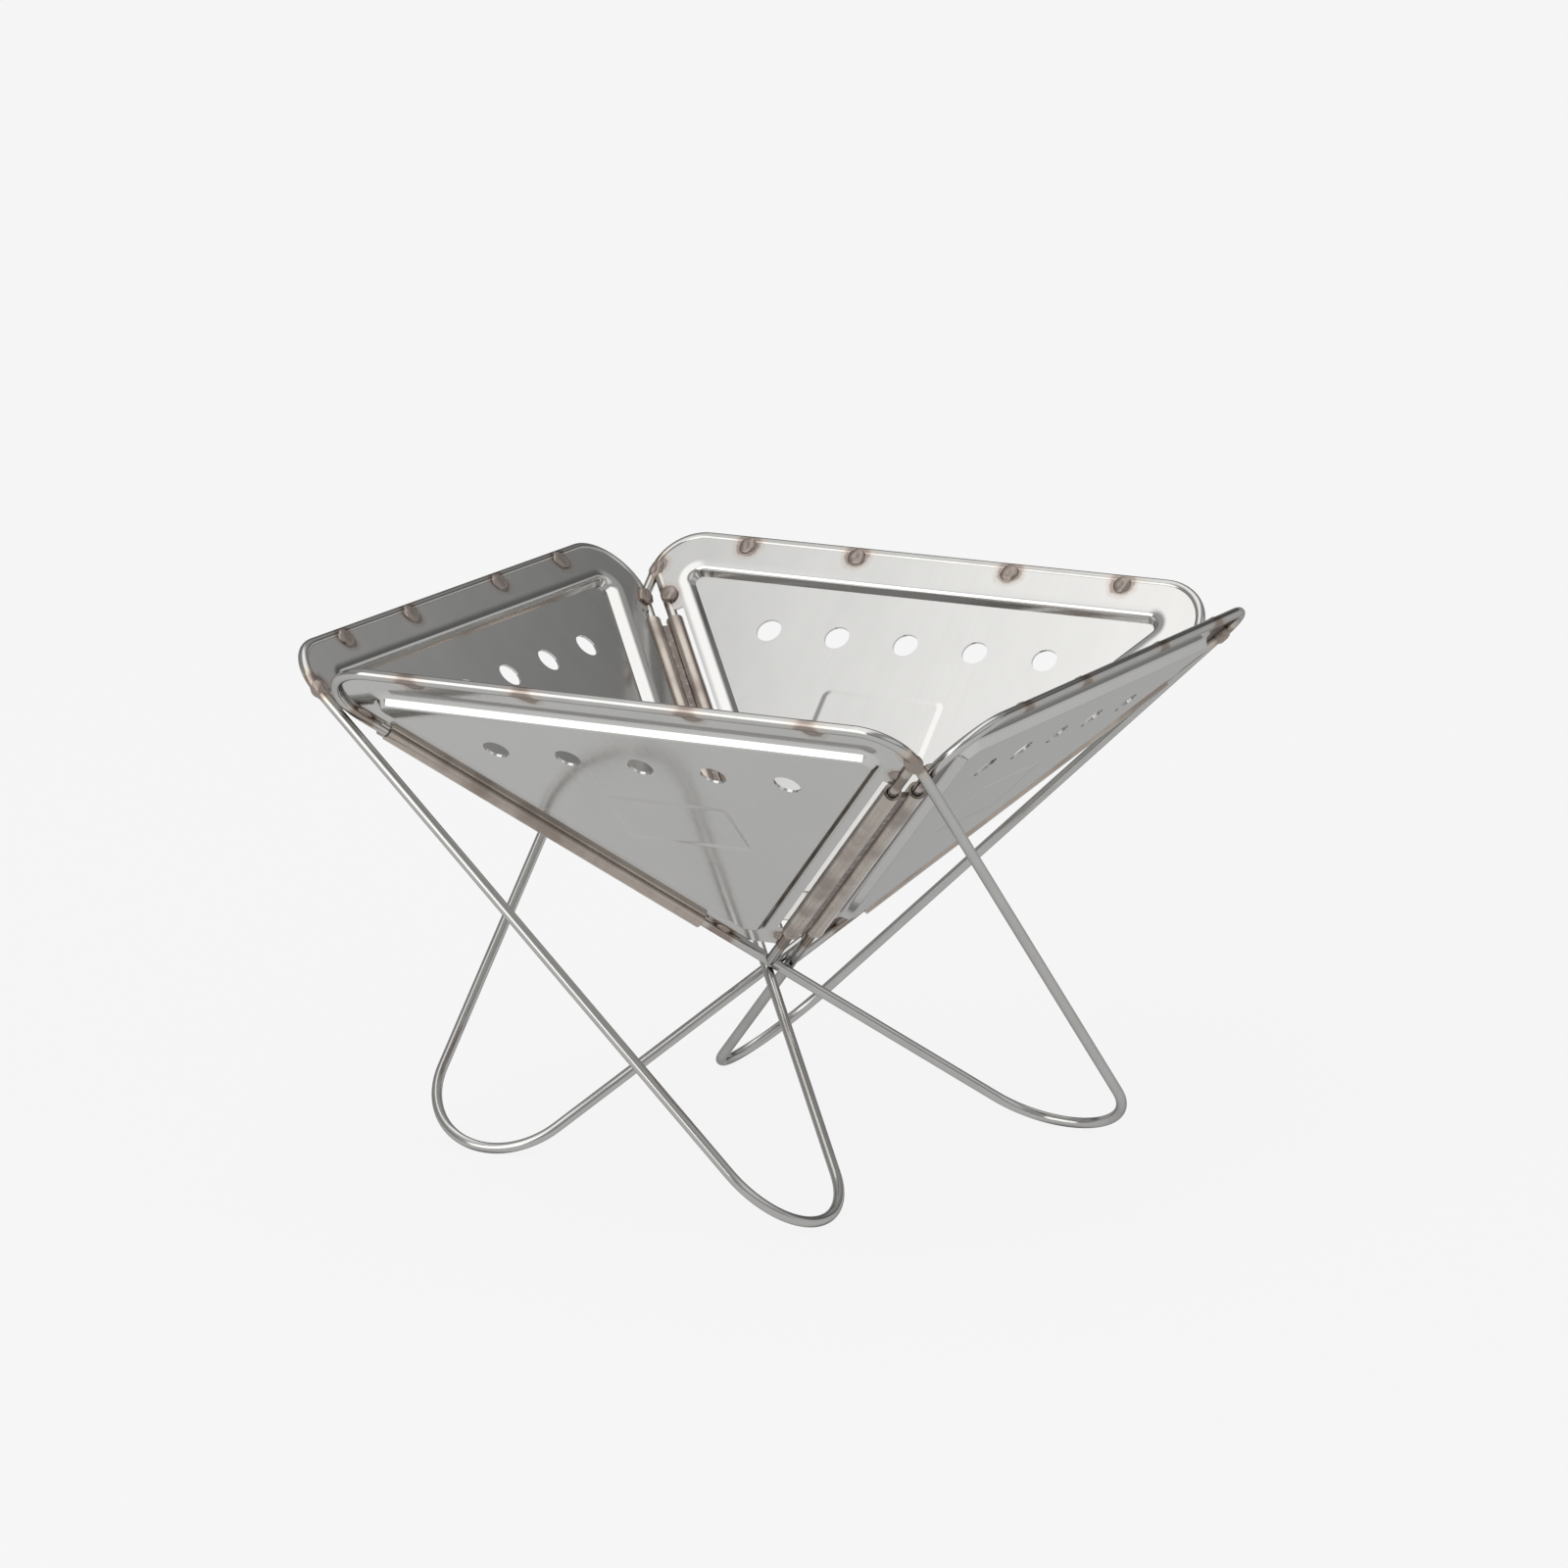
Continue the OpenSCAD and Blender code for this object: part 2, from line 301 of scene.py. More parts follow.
def piece(name, bm, body, slot, material, *nodes):
    """Makes a mesh an object that rides on a body and stands for CAD nodes."""
    mesh = bpy.data.meshes.new(name)
    bm.to_mesh(mesh)
    bm.free()
    obj = bpy.data.objects.new(name, mesh)
    bpy.context.scene.collection.objects.link(obj)
    obj.data.materials.append(material)
    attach(obj, body)
    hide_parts(*nodes)


def paint(node, material):
    """Gives a CAD node a material in all its slots."""
    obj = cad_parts[node]
    if not obj.material_slots:
        obj.data.materials.append(material)
    for slot in obj.material_slots:
        slot.material = material


# Material helpers

class Tree:
    """The nodes of a material or a world, made and linked by short calls."""

    def __init__(self, owner, out_kind="ShaderNodeOutputMaterial"):
        self.owner = owner
        owner.use_nodes = True
        self.tree = owner.node_tree
        self.tree.nodes.clear()
        self.out = self.add(out_kind)

    def add(self, kind, inputs=(), **settings):
        """A node with its settings, and with its inputs linked or set."""
        node = self.tree.nodes.new(kind)
        for key, value in settings.items():
            setattr(node, key, value)
        for key, value in dict(inputs).items():
            if isinstance(value, bpy.types.NodeSocket):
                self.tree.links.new(value, node.inputs[key])
            else:
                node.inputs[key].default_value = value
        return node

    def math(self, operation, a, b=0.0, clamp=False):
        """The result of one step of arithmetic."""
        return self.add("ShaderNodeMath", {0: a, 1: b}, operation=operation, use_clamp=clamp).outputs[0]

    def ranged(self, value, low, high, to_low=0.0, to_high=1.0):
        """A smooth step of a value from one range to another."""
        inputs = {"Value": value, "From Min": low, "From Max": high, "To Min": to_low, "To Max": to_high}
        return self.add("ShaderNodeMapRange", inputs, interpolation_type="SMOOTHSTEP").outputs[0]

    def mix(self, share_of_b, a, b):
        """A colour between two others."""
        node = self.add("ShaderNodeMix", {0: share_of_b, 6: a, 7: b}, data_type="RGBA")
        return node.outputs[2]

    def noise(self, vector, scale, detail=3.0, roughness=0.5):
        """An uneven value from 0 to 1."""
        inputs = {"Vector": vector, "Scale": scale, "Detail": detail, "Roughness": roughness}
        return self.add("ShaderNodeTexNoise", inputs).outputs["Fac"]

    def stretched(self, vector, scale):
        """A place scaled on each axis."""
        return self.add("ShaderNodeMapping", {"Vector": vector, "Scale": scale}).outputs[0]

    def leaf_place(self, layout, turn):
        """Object coordinates turned into a leaf's own plane."""
        place = self.add("ShaderNodeTexCoord").outputs["Object"]
        quarter = {"Vector": place, "Rotation": (0, 0, math.pi / 2 * turn)}
        spin = self.add("ShaderNodeMapping", quarter, vector_type="TEXTURE").outputs[0]
        tilt = {
            "Vector": spin,
            "Location": (0, -layout.point_out, layout.point_z),
            "Rotation": (math.pi - layout.sizes.slope, 0, 0),
        }
        return self.add("ShaderNodeMapping", tilt, vector_type="TEXTURE").outputs[0]

    def nearest(self, place, fold, spots):
        """Distance to the nearest of some spots, with the leaf folded at x = fold."""
        parts = self.add("ShaderNodeSeparateXYZ", {0: place})
        side = self.math("ABSOLUTE", self.math("SUBTRACT", parts.outputs[0], fold))
        folded = self.add("ShaderNodeCombineXYZ", {0: side, 1: parts.outputs[1], 2: 0.0}).outputs[0]
        gap = None
        for spot in spots:
            node = self.add("ShaderNodeVectorMath", {0: folded, 1: spot}, operation="DISTANCE")
            value = node.outputs["Value"]
            gap = value if gap is None else self.math("MINIMUM", gap, value)
        return gap

    def heat(self, place, layout):
        """Distance from the nearest weld on the rim or on the hinge lines."""
        rim = [(u, layout.rim_v - RIM_HEAT_DROP, 0) for u in layout.rim_spots()]
        gap = self.nearest(place, layout.sizes.stamp_shift, rim)
        return self.math("MINIMUM", gap, self.nearest(place, 0.0, layout.line_spots()))

    def rod_end_gap(self, place, layout):
        """Distance from the weld between the hinge rod and the leg."""
        node = self.add("ShaderNodeVectorMath", {0: place, 1: layout.rod_end()}, operation="DISTANCE")
        return node.outputs["Value"]

    def with_painted_shade(self, tone, reach, least):
        """A tone with painted shade: darker where two pieces lie close together, as ambient occlusion finds
        it.
        """
        # Painted shade: the ambient occlusion sets how far the colour is darkened
        node = self.add("ShaderNodeAmbientOcclusion", {"Distance": reach}, samples=6)
        keep = self.ranged(node.outputs["AO"], 0.25, 0.75, least, 1.0)
        dark = self.add("ShaderNodeVectorMath", {0: tone, "Scale": keep}, operation="SCALE")
        return dark.outputs[0]

    def finish(self, colour_socket, rough_socket, bump=None, bump_depth=0.0, bump_strength=0.0, edge=1.0):
        """A bare metal with a colour, a roughness, a bump and a tint at grazing angles."""
        inputs = {"Metallic": 1.0, "Specular Tint": (edge, edge, edge, 1.0)}
        shader = self.add("ShaderNodeBsdfPrincipled", inputs)
        self.tree.links.new(colour_socket, shader.inputs["Base Color"])
        self.tree.links.new(rough_socket, shader.inputs["Roughness"])
        if bump is not None:
            inputs = {"Height": bump, "Strength": bump_strength, "Distance": bump_depth}
            node = self.add("ShaderNodeBump", inputs)
            self.tree.links.new(node.outputs[0], shader.inputs["Normal"])
        self.tree.links.new(shader.outputs[0], self.out.inputs["Surface"])
        return self.owner


def rgba(value):
    """A colour with full cover."""
    return (value[0], value[1], value[2], 1.0)


def darker(value, factor):
    """A colour made darker by a factor."""
    return rgba([c * factor for c in value])


def sheet_steel(layout, finish, turn):
    """Rolled stainless sheet with faint streaks up the leaf and brown rings round the welds."""
    t = Tree(bpy.data.materials.new("sheet_steel_" + LEAVES[turn]))
    place = t.leaf_place(layout, turn)
    streak = t.noise(t.stretched(place, (520, 7, 40)), scale=1.0, roughness=0.6)
    cloud = t.noise(place, scale=14.0)
    ring = t.noise(place, scale=240.0, detail=2.0)
    gap = t.math("MINIMUM", t.heat(place, layout), t.rod_end_gap(place, layout))
    uneven, less_outside = 0.003, 0.0022
    gap = t.math("ADD", gap, t.math("MULTIPLY", t.math("SUBTRACT", ring, 0.5), uneven))
    outside = t.math("GREATER_THAN", t.add("ShaderNodeSeparateXYZ", {0: place}).outputs[2], 0.0)
    gap = t.math("ADD", gap, t.math("MULTIPLY", outside, less_outside))
    straw = t.ranged(gap, 0.0095, 0.0070, 0.0, 0.45)
    brown = t.ranged(gap, 0.0070, 0.0056, 0.0, 0.7)
    cloudy = t.ranged(cloud, 0.3, 0.7, 0.0, 0.6)
    tone = t.mix(cloudy, rgba(finish.sheet_colour), darker(finish.sheet_colour, 0.95))
    tone = t.mix(t.ranged(streak, 0.35, 0.7, 0.0, 0.5), tone, darker(finish.sheet_colour, 0.97))
    tone = t.mix(straw, tone, rgba(finish.straw))
    tone = t.mix(brown, tone, rgba(finish.brown))
    rough = t.ranged(streak, 0.3, 0.7, finish.sheet_rough - 0.01, finish.sheet_rough + 0.015)
    rough = t.math("ADD", rough, t.math("MULTIPLY", straw, 0.12))
    # Painted shade: the sheet's colour darkens where the rods, welds and the tray's fillet lie close
    tone = t.with_painted_shade(tone, reach=0.0015, least=0.35)
    return t.finish(tone, rough, bump=cloud, bump_depth=0.0012, bump_strength=0.12, edge=0.6)


def rod_steel(layout, finish, turn):
    """Polished rod, tinted where it is welded and golden where the hinge rod meets the leg."""
    t = Tree(bpy.data.materials.new("rod_steel_" + LEAVES[turn]))
    place = t.leaf_place(layout, turn)
    cloud = t.noise(place, scale=40.0)
    gap = t.heat(place, layout)
    end = t.rod_end_gap(place, layout)
    straw = t.ranged(gap, 0.013, 0.008, 0.0, 0.5)
    brown = t.ranged(t.math("MINIMUM", gap, end), 0.0085, 0.0055, 0.0, 0.7)
    cloudy = t.ranged(cloud, 0.35, 0.7, 0.0, 0.6)
    tone = t.mix(cloudy, rgba(finish.rod_colour), darker(finish.rod_colour, 0.9))
    tone = t.mix(straw, tone, rgba(finish.straw))
    tone = t.mix(t.ranged(end, 0.013, 0.008, 0.0, 0.4), tone, rgba(finish.gold))
    tone = t.mix(brown, tone, rgba(finish.brown))
    rough = t.ranged(cloud, 0.3, 0.7, finish.rod_rough - 0.03, finish.rod_rough + 0.03)
    # Painted shade: the rod's colour darkens where the sheet and other pieces lie close
    return t.finish(t.with_painted_shade(tone, reach=0.004, least=0.4), rough, edge=0.5)


def tinted_steel(finish):
    """Sleeve tube stained brown by the heat of welding."""
    t = Tree(bpy.data.materials.new("tinted_steel"))
    place = t.add("ShaderNodeTexCoord").outputs["Object"]
    patch = t.noise(place, scale=34.0)
    fine = t.noise(place, scale=260.0, roughness=0.6)
    stain = t.ranged(patch, 0.42, 0.66, 0.0, 0.8)
    tone = t.mix(stain, rgba(finish.tube_colour), rgba(finish.tube_dark))
    tone = t.mix(t.ranged(fine, 0.45, 0.75, 0.0, 0.25), tone, darker(finish.tube_colour, 0.6))
    rough = t.ranged(patch, 0.3, 0.7, 0.2, 0.36)
    # Painted shade: the sleeve's colour darkens where the rod and the other sleeve lie close
    tone = t.with_painted_shade(tone, reach=0.003, least=0.4)
    return t.finish(tone, rough, bump=fine, bump_depth=0.0001, bump_strength=0.1)


def weld_metal(finish):
    """Oxidised weld, barer in its sunk middle."""
    t = Tree(bpy.data.materials.new("weld_metal"))
    place = t.add("ShaderNodeTexCoord").outputs["Object"]
    bare = t.add("ShaderNodeAttribute", attribute_name="bare").outputs["Fac"]
    ripple = t.noise(place, scale=300.0)
    light = t.math("ADD", t.math("MULTIPLY", bare, 0.8), t.ranged(ripple, 0.5, 0.75, 0.0, 0.35), clamp=True)
    tone = t.mix(light, rgba(finish.weld_colour), rgba(finish.weld_light))
    rough = t.ranged(ripple, 0.3, 0.7, 0.4, 0.26)
    return t.finish(tone, rough, bump=ripple, bump_depth=0.0003, bump_strength=0.25)


# Pieces

class PIT_OT_sheets(bpy.types.Operator):
    """Makes the four stamped leaves: flange, pressed tray, air holes and plain pad"""

    bl_idname = "pit.sheets"
    bl_label = "Stamped leaves"

    def outline(self, bm, layout):
        """The sheet's edge: rim, leg side, and a notch round the sleeves on both hinge lines."""
        sizes = layout.sizes
        low = (sizes.sheet_low - layout.rod_off * math.sin(layout.half)) / math.cos(layout.half)
        notch = (sizes.sleeve_low - sizes.notch_end, layout.sleeve_high + sizes.notch_end)
        rim = layout.rim_v - layout.rod_off
        side = [
            (layout.edge_point(low, layout.rod_off), 0),
            (layout.edge_point(notch[0], layout.rod_off), 0),
            (layout.edge_point(notch[0], layout.sleeve_off), 0),
            (layout.edge_point(notch[1], layout.sleeve_off), 0),
            (layout.edge_point(notch[1], layout.rod_off), 0),
        ]
        leg = layout.leg_u - layout.rod_off
        meet = (leg + layout.rod_off / math.cos(layout.half)) / math.tan(layout.half)
        most = 0.98 * (rim - meet)
        leg_round = min(sizes.bend_leg - layout.rod_off, most)
        right = side + [(Vector((leg, meet, 0)), 0), (Vector((leg, rim, 0)), leg_round)]
        hinge = side + [(layout.line_point(rim, layout.rod_off), sizes.bend_hinge - layout.rod_off)]
        left = [(Vector((-p.x, p.y, 0)), r) for p, r in reversed(hinge)]
        return loop_of(bm, right + left, steps=16)

    def tray(self, bm, layout):
        """The pressed tray: a round edge, a steep wall and a small fillet at its floor."""
        sizes = layout.sizes
        lean, big, small = sizes.tray_lean, sizes.tray_round, sizes.tray_fillet
        early = math.radians(9)
        flat, spare = 0.0003, 0.001
        soft_r = sizes.tray_soft / math.sin(early)
        sunk = soft_r * (1 - math.cos(early))
        sunk += big * (math.cos(early) - math.cos(lean)) + small * (1 - math.cos(lean))
        wall = (sizes.tray_depth - sunk) / math.sin(lean)
        width = big * (math.sin(lean) - math.sin(early)) + small * math.sin(lean) + wall * math.cos(lean)
        shift = Vector((sizes.stamp_shift, 0, 0))
        reach = width / 2 + sizes.tray_soft
        top = layout.line_point(layout.rim_v - sizes.tray_top + reach, sizes.tray_side - reach)
        low = layout.line_point(sizes.tray_low - reach, sizes.tray_side - reach)
        corners = [(low, width + sizes.tray_soft + spare), (top, sizes.tray_r + reach)]
        corners += [(Vector((-p.x, p.y, 0)), r) for p, r in reversed(corners)]
        face = filled(bm, loop_of(bm, [(p + shift, r) for p, r in corners]))
        steps = [(flat, 0.0)]
        for radius, first, last, count in ((soft_r, 0.0, early, 5), (big, early, lean, 6)):
            angles = [first + (last - first) * i / count for i in range(count + 1)]
            for a, b in zip(angles, angles[1:]):
                steps.append((radius * (math.sin(b) - math.sin(a)), radius * (math.cos(a) - math.cos(b))))
        steps.append((wall * math.cos(lean), wall * math.sin(lean)))
        angles = [lean * (1 - i / 3) for i in range(4)]
        for a, b in zip(angles, angles[1:]):
            steps.append((small * (math.sin(a) - math.sin(b)), small * (math.cos(b) - math.cos(a))))
        steps.append((flat, 0.0))
        return pressed(bm, face, steps), face

    def floor_loops(self, bm, layout):
        """Air holes and the pad, at the level of the tray's floor."""
        sizes = layout.sizes
        level = sizes.tray_depth
        hole_v = layout.rim_v - sizes.hole_drop
        span = layout.half_width(hole_v, sizes.tray_side) - sizes.hole_end
        edges = []
        for i in range(sizes.hole_count):
            u = sizes.stamp_shift - span + 2 * span * i / (sizes.hole_count - 1)
            place = Matrix.Translation((u, hole_v, level))
            made = bmesh.ops.create_circle(
                bm, cap_ends=False, radius=sizes.hole_d / 2, segments=40, matrix=place
            )
            edges += edges_at(made["verts"])
        middle = Vector((sizes.stamp_shift, layout.rim_v - sizes.pad_drop, level))
        w, h = sizes.pad_w / 2, sizes.pad_h / 2
        spots = ((w, -h), (w, h), (-w, h), (-w, -h))
        corners = [(middle + Vector((x, y, 0)), sizes.pad_r) for x, y in spots]
        pad = filled(bm, loop_of(bm, corners, steps=6))
        edge = sizes.pad_r / 8
        rise = -sizes.pad_depth / 6
        steps = [(edge, 0), (edge, rise), (edge, 2 * rise), (edge, 2 * rise), (edge, rise), (edge, 0)]
        return edges + pressed(bm, pad, steps)

    def execute(self, context):
        layout = Layout(context.scene.pit_sizes)
        finish = context.scene.pit_finish
        for turn, name in enumerate(LEAVES):
            bm = bmesh.new()
            outline = self.outline(bm, layout)
            tray_rim, floor = self.tray(bm, layout)
            bmesh.ops.triangle_fill(bm, use_beauty=True, edges=outline + tray_rim, normal=(0, 0, 1))
            floor_rim = list(floor.edges)
            bmesh.ops.delete(bm, geom=[floor], context="FACES_ONLY")
            loops = self.floor_loops(bm, layout)
            bmesh.ops.triangle_fill(bm, use_beauty=True, edges=floor_rim + loops, normal=(0, 0, 1))
            bmesh.ops.recalc_face_normals(bm, faces=bm.faces)
            bmesh.ops.translate(bm, verts=bm.verts, vec=(0, 0, -layout.sizes.sheet_t / 2))
            if sum(f.normal.z for f in bm.faces) > 0:
                bmesh.ops.reverse_faces(bm, faces=bm.faces)
            bmesh.ops.solidify(bm, geom=bm.faces[:], thickness=-layout.sizes.sheet_t)
            bmesh.ops.transform(bm, matrix=layout.matrix(turn), verts=bm.verts)
            bmesh.ops.recalc_face_normals(bm, faces=bm.faces)
            sharpened(bm, SHEET_SHARP)
            material = sheet_steel(layout, finish, turn)
            piece("stamped_leaf_" + name, bm, name + "_leaf", "sheet_steel", material, "panel_" + name)
        return {"FINISHED"}


class PIT_OT_frames(bpy.types.Operator):
    """Makes the four bent rod loops: rim, leg, foot and hinge line"""

    bl_idname = "pit.frames"
    bl_label = "Rod frames"

    def straight(self, bm, ring, way):
        """Draws the rod on in a straight line and gives its new end."""
        made = bmesh.ops.extrude_edge_only(bm, edges=ring)["geom"]
        bmesh.ops.translate(bm, verts=[v for v in made if isinstance(v, bmesh.types.BMVert)], vec=way)
        return [e for e in made if isinstance(e, bmesh.types.BMEdge)]

    def bend(self, bm, ring, centre, angle, steps):
        """Draws the rod on round a centre and gives its new end."""
        verts = list(dict.fromkeys(v for e in ring for v in e.verts))
        made = bmesh.ops.spin(
            bm,
            geom=verts + ring,
            cent=centre,
            axis=(0, 0, 1),
            angle=-angle,
            steps=steps,
            use_duplicate=False,
        )
        return [e for e in made["geom_last"] if isinstance(e, bmesh.types.BMEdge)]

    def loop(self, bm, layout):
        """The closed loop: rim, leg, foot and the long hinge line back to the rim."""
        sizes = layout.sizes
        down = Vector((math.sin(layout.half), -math.cos(layout.half), 0))
        hinge_corner = Vector((-layout.run, layout.rim_v, 0))
        leg_corner = Vector((layout.leg_u, layout.rim_v, 0))
        foot_corner = Vector((layout.leg_u, layout.foot_v, 0))
        start = hinge_corner + Vector((layout.cut_hinge, 0, 0))
        turned = Matrix.Translation(start) @ Matrix.Rotation(math.pi / 2, 4, "Y")
        made = bmesh.ops.create_circle(bm, cap_ends=False, radius=layout.rod_r, segments=32, matrix=turned)
        ring = edges_at(made["verts"])
        ring = self.straight(bm, ring, leg_corner - Vector((sizes.bend_leg, 0, 0)) - start)
        leg_centre = leg_corner - Vector((sizes.bend_leg, sizes.bend_leg, 0))
        ring = self.bend(bm, ring, leg_centre, math.pi / 2, steps=16)
        leg_top = leg_corner - Vector((0, sizes.bend_leg, 0))
        leg_end = foot_corner + Vector((0, layout.cut_foot, 0))
        ring = self.straight(bm, ring, leg_end - leg_top)
        foot_centre = leg_end - Vector((sizes.bend_foot, 0, 0))
        ring = self.bend(bm, ring, foot_centre, math.pi - layout.half, steps=32)
        line_low = foot_corner - layout.cut_foot * down
        line_high = hinge_corner + layout.cut_hinge * down
        ring = self.straight(bm, ring, line_high - line_low)
        centre_v = layout.rim_v - sizes.bend_hinge
        centre = Vector((-layout.half_width(centre_v, sizes.bend_hinge), centre_v, 0))
        self.bend(bm, ring, centre, math.pi / 2 + layout.half, steps=24)
        seam = 0.00002
        bmesh.ops.remove_doubles(bm, verts=bm.verts, dist=seam)

    def execute(self, context):
        layout = Layout(context.scene.pit_sizes)
        finish = context.scene.pit_finish
        for turn, name in enumerate(LEAVES):
            bm = bmesh.new()
            self.loop(bm, layout)
            bmesh.ops.transform(bm, matrix=layout.matrix(turn), verts=bm.verts)
            bmesh.ops.recalc_face_normals(bm, faces=bm.faces)
            sharpened(bm, ROD_SHARP)
            material = rod_steel(layout, finish, turn)
            piece("rod_frame_" + name, bm, name + "_leaf", "rod_steel", material, "frame_" + name)
        return {"FINISHED"}


class PIT_OT_hinges(bpy.types.Operator):
    """Finishes the hinge rods, the sleeves and the welds between the sleeves"""

    bl_idname = "pit.hinges"
    bl_label = "Hinges"

    def execute(self, context):
        layout = Layout(context.scene.pit_sizes)
        finish = context.scene.pit_finish
        tube = tinted_steel(finish)
        weld = weld_metal(finish)
        for turn, name in enumerate(LEAVES):
            paint("hinge_rod_" + name, rod_steel(layout, finish, turn))
        for name in CORNERS:
            paint("sleeve_" + name + "_a", tube)
            paint("sleeve_" + name + "_b", tube)
        for name in JOINED_CORNERS:
            paint("bridge_" + name, weld)
        return {"FINISHED"}


class PIT_OT_welds(bpy.types.Operator):
    """Makes the weld nuggets that hold each sheet to its rods"""

    bl_idname = "pit.welds"
    bl_label = "Weld nuggets"

    def nugget(self, bm, bare, place, size, seed):
        """A lump with a sunk, barer middle and an uneven skin."""
        coarse, fine = 0.12, 0.03
        dent_x, dent_y, dent_low, dent_depth = 0.38, 0.42, 0.15, 0.24
        made = bmesh.ops.create_icosphere(bm, subdivisions=4, radius=1.0)
        for vert in made["verts"]:
            p = vert.co.copy()
            lump = coarse * noise.noise(p * 1.6 + Vector((seed, 0, 0)))
            lump += fine * noise.noise(p * 5 + Vector((0, seed, 0)))
            away = (p.x / dent_x) ** 2 + ((p.y + dent_low) / dent_y) ** 2
            sunk = math.exp(-away) if p.z < 0 else 0.0
            vert[bare] = sunk
            vert.co = p * (1 + lump - dent_depth * sunk)
        bmesh.ops.scale(bm, vec=size, verts=made["verts"])
        bmesh.ops.transform(bm, matrix=place, verts=made["verts"])

    def places(self, layout):
        """Place and size of each nugget of a leaf."""
        shift = layout.sizes.stamp_shift
        found = []
        for side in (1, -1):
            for u in layout.rim_spots():
                spot = (shift + side * u, layout.rim_v - RIM_NUGGET_DROP, -RIM_NUGGET_IN)
                found.append((Matrix.Translation(spot), RIM_NUGGET))
            for spot in layout.line_spots():
                turned = Matrix.Rotation(math.pi / 2 - side * layout.half, 4, "Z")
                inward = Matrix.Translation((0, side * LINE_NUGGET_SIDE, -LINE_NUGGET_IN))
                place = Matrix.Translation((side * spot.x, spot.y, 0)) @ turned @ inward
                found.append((place, LINE_NUGGET))
        end = layout.rod_end() + Vector(END_NUGGET_SHIFT)
        found.append((Matrix.Translation(end), END_NUGGET))
        return found

    def execute(self, context):
        layout = Layout(context.scene.pit_sizes)
        weld = bpy.data.materials["weld_metal"]
        for turn, name in enumerate(LEAVES):
            bm = bmesh.new()
            bare = bm.verts.layers.float.new("bare")
            for i, (place, size) in enumerate(self.places(layout)):
                seed = 11.0 * turn + 1.7 * i
                self.nugget(bm, bare, place, size, seed)
            bmesh.ops.transform(bm, matrix=layout.matrix(turn), verts=bm.verts)
            bmesh.ops.recalc_face_normals(bm, faces=bm.faces)
            sharpened(bm, WELD_SHARP)
            piece("weld_nuggets_" + name, bm, name + "_leaf", "weld_metal", weld, "welds_" + name)
        return {"FINISHED"}


